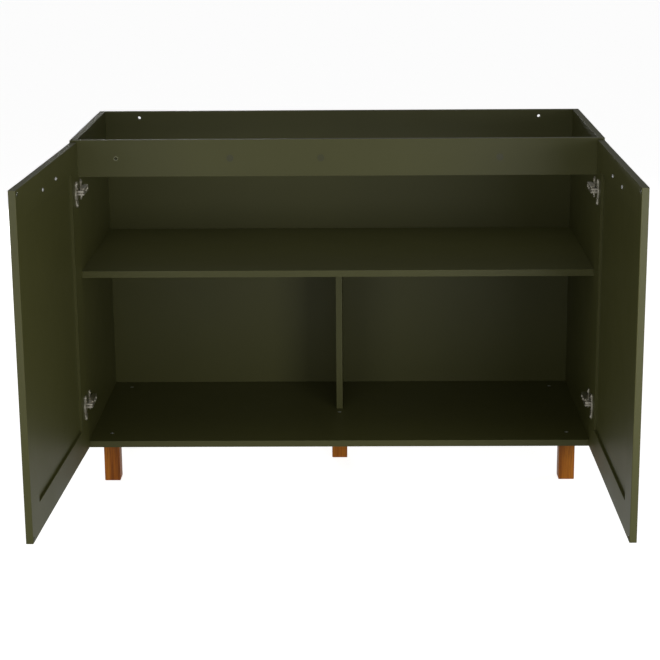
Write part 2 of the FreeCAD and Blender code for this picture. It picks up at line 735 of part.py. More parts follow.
def make_cup(side_name, side, level_name, level):
    """The hinge cup: a flanged and rimmed cup with two bosses for the pin and a notch for the arm."""
    name = f"hinge_cup_{level_name}_{side_name}"
    middle = at(side, "cup_middle")
    outer = cylinder(f"{name}_outer", middle, "door_inner", level, FORWARD, "cup_radius", "cup_depth")
    inner = cylinder(f"{name}_inner", middle, "door_inner + flange_thickness", level, FORWARD,
                     "cup_radius - cup_wall", "flange_thickness + cup_depth - cup_wall")
    flange_low = "cup_middle + flange_offset - flange_width / 2"
    flange = board(f"{name}_flange", FRONTAL, (start(side, flange_low, "flange_width"), "flange_width"),
                   (f"{level} - flange_height / 2", "flange_height"), "door_inner", "flange_thickness")
    soften(flange, "flange_corner", lambda edge: runs_along(edge, BACKWARD))
    rim = cylinder(f"{name}_rim", middle, "door_inner", level, BACKWARD, "cup_radius + cup_rim",
                   "flange_thickness")
    past_flange = "cup_radius + cup_rim + flange_offset - flange_width / 2"
    trim = box(f"{name}_trim", start(side, "cup_middle - cup_radius - cup_rim", past_flange),
               "door_inner", f"{level} - cup_radius - cup_rim", past_flange, "flange_thickness",
               "2 * (cup_radius + cup_rim)")
    bosses = []
    for end, z in (("low", f"{level} - cup_radius"), ("high", f"{level} + cup_boss_start")):
        low = "hinge_edge + cup_edge"
        bosses.append(box(f"{name}_{end}_boss", start(side, low, "cup_boss_reach"),
                          "door_inner - cup_depth", z, "cup_boss_reach", "cup_depth",
                          "cup_radius - cup_boss_start"))
    notch = box(f"{name}_notch", start(side, "hinge_edge", "cup_radius"),
                "door_inner - pin_depth - knuckle_radius", f"{level} - cup_notch", "cup_radius",
                "pin_depth + knuckle_radius + flange_thickness", "2 * cup_notch")
    pin = cylinder(f"{name}_pin", "0", "0", f"{level} - pin_length / 2", UP, "pin_radius", "pin_length")
    shanks, screws = [], []
    for end, sign in (("low", "-"), ("high", "+")):
        z = f"{level} {sign} cup_screw_spacing / 2"
        x = at(side, "cup_middle + cup_screw_offset")
        shank = cylinder(f"{name}_{end}_shank", x, "door_inner + flange_thickness", z, FORWARD,
                         "cup_screw_radius", "cup_screw_length")
        head = cylinder(f"{name}_{end}_head", x, "door_inner + flange_thickness", z, BACKWARD,
                        "cup_screw_head_radius", "cup_screw_head_height")
        recess = cylinder(f"{name}_{end}_recess", x,
                          "door_inner + flange_thickness + cup_screw_head_height", z, FORWARD,
                          "recess_radius", "recess_depth")
        shanks.append(shank)
        screws.append(cut(f"{name}_{end}_screw", fuse(f"{name}_{end}_blank", [head, shank]), [recess]))
    hollow = cut(f"{name}_hollow", inner, bosses)
    blank = fuse(f"{name}_blank", [outer, flange, cut(f"{name}_lip", rim, [trim])])
    hang(side_name, f"hinge_cup_{level_name}", cut(f"{name}_made", blank, [hollow, notch, pin] + shanks))
    return outer, pin, shanks, screws


def make_handle(side_name, side):
    """A bow handle across the top rail, with the two screws that hold it from inside."""
    left, right = "handle_middle - handle_centres / 2", "handle_middle + handle_centres / 2"
    body = doc.addObject("PartDesign::Body", f"handle_{side_name}_bow")
    path = sketch_on(body, FLAT, "handle_level", f"handle_{side_name}_path")
    centre = at(side, "handle_middle")
    near, far = value(f"{centre} - handle_centres / 2"), value(f"{centre} + handle_centres / 2")
    face, bend = value("door_outer"), value("handle_bend")
    crest = face - value("handle_reach")
    posts = [(Vector(near, face, 0), Vector(near, crest + bend, 0)),
             (Vector(far, crest + bend, 0), Vector(far, face, 0))]
    grip = (Vector(near + bend, crest, 0), Vector(far - bend, crest, 0))
    corners = [(Vector(near + bend, crest + bend, 0), 180, 270),
               (Vector(far - bend, crest + bend, 0), 270, 360)]
    path.addGeometry(Part.LineSegment(*posts[0]))
    path.addGeometry(arc(corners[0], bend))
    path.addGeometry(Part.LineSegment(*grip))
    path.addGeometry(arc(corners[1], bend))
    path.addGeometry(Part.LineSegment(*posts[1]))
    joints = ((0, 2, 1, 1), (1, 2, 2, 1), (2, 2, 3, 1), (3, 2, 4, 1))
    for joint in joints:
        path.addConstraint(Sketcher.Constraint("Tangent", *joint))
    for line, kind in ((0, "Vertical"), (2, "Horizontal"), (4, "Vertical")):
        path.addConstraint(Sketcher.Constraint(kind, line))
    path.addConstraint(Sketcher.Constraint("Equal", 1, 3))
    driven = (("Radius", (1,), "handle_bend"),
              ("DistanceX", (-1, 1, 0, 1), f"{centre} - handle_centres / 2"),
              ("DistanceY", (-1, 1, 0, 1), "door_outer"),
              ("DistanceX", (0, 1, 4, 2), "handle_centres"),
              ("DistanceY", (2, 1, 0, 1), "handle_reach"),
              ("DistanceY", (-1, 1, 4, 2), "door_outer"))
    for kind, points, text in driven:
        number = path.addConstraint(Sketcher.Constraint(kind, *points, value(text)))
        bind(path, f"Constraints[{number}]", text)
    section = sketch_on(body, FRONTAL, "-door_outer", f"handle_{side_name}_section")
    section.addGeometry(Part.Circle(Vector(near, value("handle_level"), 0), UP, value("handle_radius")))
    for kind, points, text in (("DistanceX", (-1, 1, 0, 3), f"{centre} - handle_centres / 2"),
                               ("DistanceY", (-1, 1, 0, 3), "handle_level"),
                               ("Radius", (0,), "handle_radius")):
        number = section.addConstraint(Sketcher.Constraint(kind, *points, value(text)))
        bind(section, f"Constraints[{number}]", text)
    doc.recompute()
    bow = body.newObject("PartDesign::AdditivePipe", f"handle_{side_name}_pipe")
    bow.Profile = section
    bow.Spine = (path, [])
    shanks, screws = [], []
    for end, place_x in (("near", left), ("far", right)):
        x = at(side, place_x)
        shank = cylinder(f"handle_{side_name}_{end}_shank", x, "door_inner", "handle_level", FORWARD,
                         "handle_screw_radius", "door_thickness + handle_screw_grip")
        head = cylinder(f"handle_{side_name}_{end}_head", x, "door_inner", "handle_level", BACKWARD,
                        "handle_screw_head_radius", "handle_screw_head_height")
        recess = cylinder(f"handle_{side_name}_{end}_recess", x, "door_inner + handle_screw_head_height",
                          "handle_level", FORWARD, "recess_radius", "recess_depth")
        shanks.append(shank)
        screws.append(cut(f"handle_{side_name}_{end}_screw",
                          fuse(f"handle_{side_name}_{end}_blank", [head, shank]), [recess]))
    hang(side_name, "handle", cut(f"handle_{side_name}_made", body, shanks))
    hang(side_name, "handle_screws", group(f"handle_screws_{side_name}_set", screws))
    return shanks


def arc(corner, radius):
    """A sketch arc from its centre and its first and last angle."""
    centre, first, last = corner
    return Part.ArcOfCircle(Part.Circle(centre, UP, radius), math.radians(first), math.radians(last))


def make_door(side_name, side):
    """One framed door: two stiles, two rails, a panel, its hinge cups, handle and bumpers."""
    cups, pins, cup_shanks, cup_screws = [], [], [], []
    for level_name, level in LEVELS.items():
        outer, pin, shanks, screws = make_cup(side_name, side, level_name, level)
        cups.append(outer)
        pins.append(pin)
        cup_shanks += shanks
        cup_screws += screws
    hang(side_name, "hinge_pins", group(f"hinge_pins_{side_name}_set", pins))
    hang(side_name, "hinge_cup_screws", group(f"cup_screws_{side_name}_set", cup_screws))
    handle_shanks = make_handle(side_name, side)

    panel_outer = "panel_inner - panel_thickness"
    stiles = {"hinge_stile": ("hinge_edge", "clear_start - groove_depth", cups + cup_shanks),
              "free_stile": ("clear_end", "clear_end", [])}
    for name, (low, groove_low, tools) in stiles.items():
        stile = board(f"{name}_{side_name}_board", FLAT, (start(side, low, "stile_width"), "stile_width"),
                      ("door_outer", "door_thickness"), "door_base", "door_height")
        groove = sketch_on(stile, FLAT, "door_top", f"{name}_{side_name}_groove")
        rectangle(groove, start(side, groove_low, "groove_depth"), panel_outer,
                  "groove_depth", "panel_thickness")
        pocket(stile, groove, "door_height")
        reach = [edge.BoundBox.XMin * side for edge in stile.Shape.Edges]
        rim = min(reach) if name == "hinge_stile" else max(reach)
        soften(stile, "door_edge_round",
               lambda edge, rim=rim: runs_along(edge, UP) and abs(edge.BoundBox.XMin * side - rim) < TOUCH)
        hang(side_name, name, cut(f"{name}_{side_name}_made", stile, tools))

    top_rail_base = "door_top - door_rail_width"
    rails = {"top_rail": (top_rail_base, top_rail_base, f"{top_rail_base} + groove_depth", handle_shanks),
             "bottom_rail": ("door_base", "door_base + door_rail_width - groove_depth", "door_base", [])}
    clear = "clear_end - clear_start"
    for name, (base, groove_base, tongue_base, tools) in rails.items():
        middle = board(f"{name}_{side_name}_board", FRONTAL, (start(side, "clear_start", clear), clear),
                       (base, "door_rail_width"), "door_outer", "door_thickness")
        groove = sketch_on(middle, FRONTAL, f"-({panel_outer})", f"{name}_{side_name}_groove")
        rectangle(groove, start(side, "clear_start", clear), groove_base, clear, "groove_depth")
        pocket(middle, groove, "panel_thickness")
        tongues = []
        for end, low in (("near", "clear_start - groove_depth"), ("far", "clear_end")):
            tongues.append(box(f"{name}_{side_name}_{end}_tongue", start(side, low, "groove_depth"),
                               panel_outer, tongue_base, "groove_depth", "panel_thickness",
                               "door_rail_width - groove_depth"))
        blank = fuse(f"{name}_{side_name}_blank", [middle] + tongues)
        hang(side_name, name, cut(f"{name}_{side_name}_made", blank, tools))

    panel_width = f"{clear} + 2 * groove_depth - 2 * panel_play"
    panel_base = "door_base + door_rail_width - groove_depth + panel_play"
    panel_height = "door_height - 2 * door_rail_width + 2 * groove_depth - 2 * panel_play"
    panel = board(f"door_panel_{side_name}_board", FRONTAL,
                  (start(side, "clear_start - groove_depth + panel_play", panel_width), panel_width),
                  (panel_base, panel_height), panel_outer, "panel_thickness")
    hang(side_name, "door_panel", panel)

    bumpers = [cylinder(f"bumper_{side_name}_{end}", at(side, "free_edge - bumper_edge"), "door_inner",
                        z, BACKWARD, "bumper_radius", "bumper_height")
               for end, z in (("low", "door_base + bumper_edge"), ("high", "door_top - bumper_edge"))]
    hang(side_name, "door_bumpers", group(f"bumpers_{side_name}_set", bumpers))


# ---------------------------------------------------------------- build, check and write

def fill_sheet():
    """Write every driving size in the spreadsheet, with its name beside it."""
    for row, (name, value) in enumerate(SIZES.items(), 1):
        sheet.set(f"A{row}", name)
        sheet.set(f"B{row}", str(value))
        sheet.setAlias(f"B{row}", name)
    doc.recompute()


def check_and_write():
    """Make sure that nothing failed, then write one STEP file for each sub-part."""
    doc.recompute()
    failed = [thing.Label for thing in doc.Objects if {"Invalid", "Error"} & set(thing.State)]
    if failed:
        raise RuntimeError(f"failed: {', '.join(failed)}")
    os.makedirs("parts", exist_ok=True)
    for name, thing in parts.items():
        shape = thing.Shape
        if shape.isNull() or not shape.isValid() or not shape.Solids:
            raise RuntimeError(f"{name} has no valid solid")
        shape.exportStep(f"parts/{name}.step")
    print(f"{len(parts)} sub-parts written")


fill_sheet()
make_carcass()
for door_side_name, door_side in SIDES.items():
    make_door(door_side_name, door_side)
check_and_write()
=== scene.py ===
"""The looks of the sink base cabinet: satin olive paint, lacquered legs, nickelled hinges.

Lengths are in metres, angles in degrees, and written colours are sRGB of 0 to 255.
"""

import json
import math

import bmesh
import bpy
from mathutils import Matrix, Vector


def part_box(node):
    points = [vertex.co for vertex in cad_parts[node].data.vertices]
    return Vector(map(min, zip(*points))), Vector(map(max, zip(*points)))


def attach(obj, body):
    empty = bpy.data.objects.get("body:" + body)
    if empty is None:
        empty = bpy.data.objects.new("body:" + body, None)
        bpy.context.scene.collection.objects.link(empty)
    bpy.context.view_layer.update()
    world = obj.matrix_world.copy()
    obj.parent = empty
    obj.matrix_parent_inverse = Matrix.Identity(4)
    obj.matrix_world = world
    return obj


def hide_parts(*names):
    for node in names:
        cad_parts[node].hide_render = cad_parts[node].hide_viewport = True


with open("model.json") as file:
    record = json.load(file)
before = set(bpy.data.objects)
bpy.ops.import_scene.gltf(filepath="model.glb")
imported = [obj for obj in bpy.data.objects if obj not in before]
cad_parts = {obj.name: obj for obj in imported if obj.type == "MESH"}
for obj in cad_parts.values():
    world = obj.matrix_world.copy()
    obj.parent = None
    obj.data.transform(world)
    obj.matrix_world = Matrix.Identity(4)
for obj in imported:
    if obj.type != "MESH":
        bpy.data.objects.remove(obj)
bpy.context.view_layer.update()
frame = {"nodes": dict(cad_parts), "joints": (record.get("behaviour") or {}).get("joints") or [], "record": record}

NODES = frame["nodes"]
JOINTS = {joint["name"]: joint for joint in frame["joints"]}
MOUNTS = {mount["name"]: mount for mount in frame["record"]["mounts"]}
MM = 0.001
INWARD = {"left": 1, "right": -1}  # the way along X that each side panel's inner face looks

# ---------------------------------------------------------------- camera

PHOTO_SIDE = 660  # the photograph's width and height in pixels
FOCAL_PIXELS = 1734.9
PRINCIPAL_POINT = (337.8, 290.4)  # where the optical axis meets the photograph, in pixels
SENSOR = 36.0
CAMERA_PLACE = Vector((0.0453, -4.0737, 1.4157))
CAMERA_YAW, CAMERA_PITCH, CAMERA_ROLL = 0.67, -13.74, 0.39
VIEW_END = 200


def make_camera():
    """The photograph's view, with most of its vertical shift turned into pitch."""
    data = bpy.data.cameras.new("camera")
    data.sensor_width = SENSOR
    data.lens = FOCAL_PIXELS / PHOTO_SIDE * SENSOR
    data.shift_x = 0.5 - PRINCIPAL_POINT[0] / PHOTO_SIDE
    data.shift_y = PRINCIPAL_POINT[1] / PHOTO_SIDE - 0.5
    data.clip_end = VIEW_END
    camera = bpy.data.objects.new("camera", data)
    turn = (Matrix.Rotation(math.radians(CAMERA_YAW), 4, "Z")
            @ Matrix.Rotation(math.radians(90 + CAMERA_PITCH), 4, "X")
            @ Matrix.Rotation(math.radians(-CAMERA_ROLL), 4, "Z"))
    camera.matrix_world = Matrix.Translation(CAMERA_PLACE) @ turn
    bpy.context.scene.collection.objects.link(camera)
    bpy.context.scene.camera = camera


# ---------------------------------------------------------------- shader helpers

WHITE = (1, 1, 1, 1)
MIX_A, MIX_B, MIX_RESULT = 6, 7, 2  # the Mix node's colour sockets, which share their names


def new_material(name):
    """An empty node material; returns the material, its tree and its shader."""
    material = bpy.data.materials.new(name)
    material.use_nodes = True
    tree = material.node_tree
    return material, tree, tree.nodes["Principled BSDF"]


def add(tree, kind, **values):
    """A node with its properties and plain input values set."""
    node = tree.nodes.new(kind)
    for key, value in values.items():
        if key in node.inputs:
            node.inputs[key].default_value = value
        else:
            setattr(node, key, value)
    return node


def linear(colour):
    """An sRGB colour of 0 to 255 as linear red, green, blue and alpha."""
    def channel(value):
        value /= 255
        return value / 12.92 if value <= 0.04045 else ((value + 0.055) / 1.055) ** 2.4
    return (*[channel(value) for value in colour], 1.0)


def scaled(colour, factor):
    """A linear colour made darker or lighter."""
    return (*[channel * factor for channel in colour[:3]], 1.0)


def mapped_noise(tree, scale, stretch=(1, 1, 1), detail=3.0, roughness=0.5):
    """Noise on the object's own coordinates, stretched along its axes."""
    place = add(tree, "ShaderNodeTexCoord")
    mapping = add(tree, "ShaderNodeMapping", Scale=stretch)
    tree.links.new(place.outputs["Object"], mapping.inputs["Vector"])
    noise = add(tree, "ShaderNodeTexNoise", Scale=scale, Detail=detail, Roughness=roughness)
    tree.links.new(mapping.outputs["Vector"], noise.inputs["Vector"])
    return noise.outputs["Fac"]


def ramp(tree, source, stops):
    """A source turned into colours by (position, linear colour) stops."""
    node = add(tree, "ShaderNodeValToRGB")
    elements = node.color_ramp.elements
    while len(elements) < len(stops):
        elements.new(0.5)
    for element, (position, colour) in zip(elements, stops):
        element.position = position
        element.color = colour
    tree.links.new(source, node.inputs["Fac"])
    return node.outputs["Color"]


def spread(tree, source, low, high):
    """A value of 0 to 1 spread between two others."""
    node = add(tree, "ShaderNodeMapRange")
    node.inputs["To Min"].default_value = low
    node.inputs["To Max"].default_value = high
    tree.links.new(source, node.inputs["Value"])
    return node.outputs["Result"]


def multiplied(tree, colour, tint, share):
    """A colour multiplied by a share of a tint."""
    node = add(tree, "ShaderNodeMix", data_type="RGBA", blend_type="MULTIPLY")
    node.inputs["Factor"].default_value = share
    tree.links.new(colour, node.inputs[MIX_A])
    tree.links.new(tint, node.inputs[MIX_B])
    return node.outputs[MIX_RESULT]


def set_surface(tree, shader, colour, cloud, roughness, grain, relief):
    """Give a shader its colour, a roughness that follows cloud, and a relief that follows grain.

    roughness is its lowest and highest value, and relief is (strength, depth).
    """
    strength, depth = relief
    tree.links.new(colour, shader.inputs["Base Color"])
    tree.links.new(spread(tree, cloud, *roughness), shader.inputs["Roughness"])
    bump = add(tree, "ShaderNodeBump", Strength=strength, Distance=depth)
    tree.links.new(grain, bump.inputs["Height"])
    tree.links.new(bump.outputs["Normal"], shader.inputs["Normal"])


# ---------------------------------------------------------------- materials

# Each relief is (strength, depth), and each shine is the shader's specular level.
PAINT_PEEL, PAINT_SHINE = (0.08, 0.0004), 0.28
FIBRE_RELIEF, FIBRE_SHINE = (0.35, 0.0004), 0.3
WOOD_RELIEF, WOOD_SHINE = (0.12, 0.0004), 0.3
METAL_RELIEF = (0.05, 0.0002)
PLASTIC_RELIEF, PLASTIC_SHINE = (0.05, 0.0002), 0.35

FLECK_TINTS = [(0.34, (0.62, 0.6, 0.58, 1)), (0.5, WHITE), (0.68, (1.35, 1.3, 1.2, 1))]
FLECK_SHARE = 0.85
PORE_TINTS = [(0.60, WHITE), (0.70, (0.45, 0.38, 0.3, 1))]
PORE_SHARE = 0.8
PORE_STRETCH = 0.35
GRAIN_STRETCH = 0.04
GRAIN_SHARE, FLOW_SHARE = 0.55, 0.45


def paint_material(name, colour, tone, roughness):
    """Satin paint: a little uneven in tone and gloss, with the fine peel of a sprayed coat."""
    material, tree, shader = new_material(name)
    base = linear(colour)
    broad = mapped_noise(tree, scale=2.3, detail=4.0)
    shade = ramp(tree, broad, [(0.3, scaled(base, 1 - tone)), (0.7, scaled(base, 1 + tone))])
    cloud = mapped_noise(tree, scale=7.0, detail=5.0, roughness=0.6)
    peel = mapped_noise(tree, scale=520.0, detail=2.0)
    set_surface(tree, shader, shade, cloud, roughness, peel, PAINT_PEEL)
    shader.inputs["Specular IOR Level"].default_value = PAINT_SHINE
    return material


def hardboard_material(name, colour):
    """Pressed fibres: short pale and dark flecks over a mottled sheet."""
    material, tree, shader = new_material(name)
    base = linear(colour)
    mottle = mapped_noise(tree, scale=9.0, detail=6.0, roughness=0.65)
    sheet = ramp(tree, mottle, [(0.32, scaled(base, 0.80)), (0.68, scaled(base, 1.16))])
    fibre = mapped_noise(tree, scale=420.0, stretch=(1, 1, 0.35), detail=4.0, roughness=0.7)
    shade = multiplied(tree, sheet, ramp(tree, fibre, FLECK_TINTS), FLECK_SHARE)
    set_surface(tree, shader, shade, fibre, (0.62, 0.82), fibre, FIBRE_RELIEF)
    shader.inputs["Specular IOR Level"].default_value = FIBRE_SHINE
    return material


def wood_material(name, dark, middle, light, along, roughness):
    """Wood with its grain along one axis of the object."""
    material, tree, shader = new_material(name)
    stretch = tuple(GRAIN_STRETCH if axis == along else 1 for axis in "xyz")
    grain = mapped_noise(tree, scale=160.0, stretch=stretch, detail=6.0, roughness=0.62)
    flow = mapped_noise(tree, scale=26.0, stretch=stretch)
    part = add(tree, "ShaderNodeMath", operation="MULTIPLY")
    part.inputs[1].default_value = GRAIN_SHARE
    tree.links.new(grain, part.inputs[0])
    whole = add(tree, "ShaderNodeMath", operation="MULTIPLY_ADD")
    whole.inputs[1].default_value = FLOW_SHARE
    tree.links.new(flow, whole.inputs[0])
    tree.links.new(part.outputs["Value"], whole.inputs[2])
    streaks = ramp(tree, whole.outputs["Value"],
                   [(0.36, linear(dark)), (0.5, linear(middle)), (0.62, linear(light))])
    fine = tuple(PORE_STRETCH * factor for factor in stretch)
    pores = ramp(tree, mapped_noise(tree, scale=1500.0, stretch=fine, detail=2.0), PORE_TINTS)
    shade = multiplied(tree, streaks, pores, PORE_SHARE)
    set_surface(tree, shader, shade, grain, roughness, grain, WOOD_RELIEF)
    shader.inputs["Specular IOR Level"].default_value = WOOD_SHINE
    return material


def metal_material(name, colour, roughness, stretch=(1, 1, 1), scale=300.0):
    """Plated or brushed metal with faint wipe marks."""
    material, tree, shader = new_material(name)
    shader.inputs["Metallic"].default_value = 1.0
    base = linear(colour)
    marks = mapped_noise(tree, scale, stretch, detail=4.0, roughness=0.6)
    shade = ramp(tree, marks, [(0.3, scaled(base, 0.86)), (0.7, base)])
    set_surface(tree, shader, shade, marks, roughness, marks, METAL_RELIEF)
    return material


def plastic_material(name, colour, roughness, clear=0.0):
    """Moulded plastic with a faint grain; clear is the share of light that it lets through."""
    material, tree, shader = new_material(name)
    base = linear(colour)
    grain = mapped_noise(tree, scale=900.0, detail=2.0)
    shade = ramp(tree, grain, [(0.35, scaled(base, 0.93)), (0.65, base)])
    set_surface(tree, shader, shade, grain, roughness, grain, PLASTIC_RELIEF)
    shader.inputs["Specular IOR Level"].default_value = PLASTIC_SHINE
    shader.inputs["Transmission Weight"].default_value = clear
    return material


def make_materials():
    """Every finish of the cabinet."""
    return {
        "paint": paint_material("satin_olive_paint", (80, 80, 42), 0.06, (0.40, 0.50)),
        # The edge finish is a lighter olive: partly rubbed paint, partly a painted highlight where rounded edges
        # catch the light.
        "edge": paint_material("rubbed_olive_edge", (92, 92, 53), 0.1, (0.34, 0.44)),
        "hardboard": hardboard_material("raw_hardboard", (134, 100, 65)),
        "raw": hardboard_material("raw_board_rim", (156, 158, 128)),
        "leg": wood_material("lacquered_leg_wood", (120, 61, 8), (174, 98, 15), (202, 124, 30),
                             along="z", roughness=(0.32, 0.46)),
        "beech": wood_material("beech", (176, 140, 98), (200, 166, 122), (214, 184, 142),
                               along="x", roughness=(0.55, 0.7)),
        "nickel": metal_material("satin_nickel", (216, 211, 196), (0.34, 0.46)),
        "zinc": metal_material("zinc_plate", (216, 217, 218), (0.3, 0.44)),
        "cast": metal_material("cast_zinc", (150, 151, 152), (0.4, 0.55)),
        "handle": metal_material("brushed_nickel", (190, 184, 172), (0.26, 0.4),
                                 stretch=(1, 0.05, 1), scale=500.0),
        "cap": plastic_material("cap_plastic", (70, 70, 40), (0.3, 0.42)),
        "bumper": plastic_material("clear_bumper", (176, 178, 150), (0.12, 0.2), clear=0.9),
    }


# ---------------------------------------------------------------- mesh helpers

WELD = 1e-6
FLAT_ANGLE = math.radians(0.4)
SOFT_FROM = math.radians(35)  # edges sharper than this are rounded, or stay crisp
SMOOTH_COSINE = math.cos(math.radians(40))
ROUND_PROFILE = 0.6
TURN_STEPS = 48


def smooth(mesh):
    """Smooth normals that the large faces lead, split at edges over 40 degrees."""
    mesh.shade_smooth()
    around = [[] for _ in mesh.vertices]
    for face in mesh.polygons:
        for vertex in face.vertices:
            around[vertex].append(face)
    normals = []
    for face in mesh.polygons:
        own = face.normal
        for vertex in face.vertices:
            total = Vector()
            for other in around[vertex]:
                if other.normal.dot(own) > SMOOTH_COSINE:
                    total += other.normal * other.area
            normals.append(total.normalized() if total.length > 0 else own)
    mesh.normals_split_custom_set(normals)


def finished(name, bm, finishes, body, nodes=()):
    """Turn a bmesh into a piece that rides on a body and stands for some nodes."""
    mesh = bpy.data.meshes.new(name)
    bm.normal_update()
    bm.to_mesh(mesh)
    bm.free()
    piece = bpy.data.objects.new(name, mesh)
    bpy.context.scene.collection.objects.link(piece)
    for finish in finishes:
        mesh.materials.append(finish)
    smooth(mesh)
    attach(piece, body)
    if nodes:
        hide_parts(*nodes)


def welded(node):
    """A CAD node's own mesh as a bmesh, with its seams closed."""
    bm = bmesh.new()
    bm.from_mesh(NODES[node].data)
    bmesh.ops.remove_doubles(bm, verts=bm.verts, dist=WELD)
    return bm


def node_bmesh(node):
    """A CAD node's shape with its flat faces merged, all in the first finish."""
    bm = welded(node)
    bmesh.ops.dissolve_limit(bm, angle_limit=FLAT_ANGLE, verts=bm.verts, edges=bm.edges)
    for face in bm.faces:
        face.material_index = 0
    return bm


def soften_edges(bm, width, shortest, segments, finish):
    """Round the outer edges that are longer than shortest; finish is the rounding's own index."""
    sharp = [edge for edge in bm.edges
             if len(edge.link_faces) == 2 and edge.is_convex and edge.calc_length() > shortest
             and edge.calc_face_angle() > SOFT_FROM]
    bmesh.ops.bevel(bm, geom=sharp, offset=width, segments=segments, profile=ROUND_PROFILE,
                    affect="EDGES", clamp_overlap=True, material=finish)


def islands(node):
    """The points of each separate solid of a node."""
    bm = welded(node)
    seen, found = set(), []
    for first in bm.verts:
        if first in seen:
            continue
        seen.add(first)
        stack, points = [first], []
        while stack:
            vertex = stack.pop()
            points.append(vertex.co.copy())
            for edge in vertex.link_edges:
                other = edge.other_vert(vertex)
                if other not in seen:
                    seen.add(other)
                    stack.append(other)
        found.append(points)
    bm.free()
    return found


def corners(points):
    """The lowest and the highest corner around some points."""
    return (Vector([min(point[axis] for point in points) for axis in range(3)]),
            Vector([max(point[axis] for point in points) for axis in range(3)]))


def turned(profile):
    """A solid of revolution about Z; its (radius, height) points start and end on the axis."""
    bm = bmesh.new()
    rings = []
    for radius, height in profile:
        if radius == 0:
            rings.append([bm.verts.new((0, 0, height))])
        else:
            angles = [2 * math.pi * step / TURN_STEPS for step in range(TURN_STEPS)]
            rings.append([bm.verts.new((radius * math.cos(angle), radius * math.sin(angle), height))
                          for angle in angles])
    for low, high in zip(rings, rings[1:]):
        for step in range(TURN_STEPS):
            quad = [low[step % len(low)], low[(step + 1) % len(low)],
                    high[(step + 1) % len(high)], high[step % len(high)]]
            bm.faces.new(list(dict.fromkeys(quad)))
    bmesh.ops.recalc_face_normals(bm, faces=bm.faces)
    return bm


def loose_object(bm):
    """A scratch object around a bmesh."""
    mesh = bpy.data.meshes.new("scratch")
    bm.to_mesh(mesh)
    bm.free()
    thing = bpy.data.objects.new("scratch", mesh)
    bpy.context.scene.collection.objects.link(thing)
    return thing


def carved(bm, cutter):
    """One bmesh less another."""
    base, tool = loose_object(bm), loose_object(cutter)
    modifier = base.modifiers.new("cut", "BOOLEAN")
    modifier.operation = "DIFFERENCE"
    modifier.solver = "EXACT"
    modifier.object = tool
    shape = base.evaluated_get(bpy.context.evaluated_depsgraph_get())
    result = bmesh.new()
    result.from_mesh(shape.data)
    for thing in (base, tool):
        mesh = thing.data
        bpy.data.objects.remove(thing)
        bpy.data.meshes.remove(mesh)
    return result


def merged(placed):
    """Several (bmesh, matrix) pairs as one bmesh."""
    whole = bmesh.new()
    for bm, matrix in placed:
        mesh = bpy.data.meshes.new("scratch")
        bm.to_mesh(mesh)
        mesh.transform(matrix)
        whole.from_mesh(mesh)
        bpy.data.meshes.remove(mesh)
    return whole


# ---------------------------------------------------------------- screws

# A screw head's recess: wing width and reach as shares of the head's radius, the share of the
# reach that is left at its floor, its depth, and how far its cutter stands proud of the head.
WING_WIDTH, WING_REACH, WING_TAPER = 0.26, 0.62, 0.5
SUNK_RECESS = 0.0024
DOMED_RECESS = 0.8  # as a share of the head's height
CUTTER_PROUD = 0.0004
SUNK_RIM = 0.0002
SUNK_TOP = 0.97  # the flat top's radius as a share of the head's
DOME = [(0, 0), (0.5, 0.03), (0.8, 0.17), (0.95, 0.42), (1, 0.72), (1, 1)]
POINT_LENGTH, POINT_WIDTH = 0.002, 0.4
TURN_STEP = 37  # each screw stops at another angle than the one before


def recess_wing(head_radius, depth, turn):
    """One of the two crossed slots of a head's recess, narrower at its floor."""
    wing = bmesh.new()
    for vertex in bmesh.ops.create_cube(wing, size=1)["verts"]:
        high = vertex.co.z > 0
        vertex.co.x *= 2 * WING_REACH * head_radius * (1 if high else WING_TAPER)
        vertex.co.y *= WING_WIDTH * head_radius
        vertex.co.z = CUTTER_PROUD if high else -depth
    bmesh.ops.rotate(wing, verts=wing.verts, matrix=Matrix.Rotation(math.radians(turn), 3, "Z"))
    return wing


def screw_shape(head_radius, head_height, shank_radius, length, countersunk=False):
    """A cross-recess screw along Z: its head's top at zero, its point down."""
    if countersunk:
        head = [(0, 0), (SUNK_TOP * head_radius, 0), (head_radius, -SUNK_RIM)]
        depth = SUNK_RECESS
    else:
        head = [(across * head_radius, -down * head_height) for across, down in DOME]
        depth = DOMED_RECESS * head_height
    shank = [(shank_radius, -head_height), (shank_radius, POINT_LENGTH - length),
             (POINT_WIDTH * shank_radius, -length), (0, -length)]
    bm = turned(head + shank)
    for turn in (0, 90):
        bm = carved(bm, recess_wing(head_radius, depth, turn))
    return bm


def set_screws(node, heads_to, shape, finish, body, home=Matrix()):
    """Put a detailed screw in the place of each of a node's screws.

    heads_to is the way that the heads look, in the frame that home turns to the model's.
    """
    way = Vector(heads_to)
    axis = max(range(3), key=lambda index: abs(way[index]))
    upright = way.to_track_quat("Z", "Y").to_matrix().to_4x4()
    placed = []
    for number, points in enumerate(islands(node)):
        low, high = corners([home.inverted() @ point for point in points])
        top = (low + high) / 2
        top[axis] = high[axis] if way[axis] > 0 else low[axis]
        turn = Matrix.Rotation(math.radians(TURN_STEP * number), 4, "Z")
        placed.append((shape, home @ Matrix.Translation(top) @ upright @ turn))
    finished(f"{node}_cross_recess", merged(placed), [finish], body, [node])


# ---------------------------------------------------------------- boards and legs

BOARD_ROUND = 0.0008
DOOR_ROUND = 0.0006
LEG_ROUND = 0.0016
LONG_EDGE = 0.008  # the shortest edge of a board or leg that is rounded
OWN_FINISH = -1  # a rounding that keeps the finish beside it
# The edge finish is the lighter olive of the rounded edges, partly wear and partly painted highlight.
WORN_HIGHLIT_EDGE_FINISH, RAW_FINISH = 1, 2

BOARDS = ("side_panel_left", "side_panel_right", "bottom_panel", "shelf", "centre_divider")
LEGS = ("leg_front_left", "leg_front_right", "leg_rear_left", "leg_rear_right", "leg_centre")
DOOR_FRAME = ("hinge_stile", "free_stile", "top_rail", "bottom_rail")

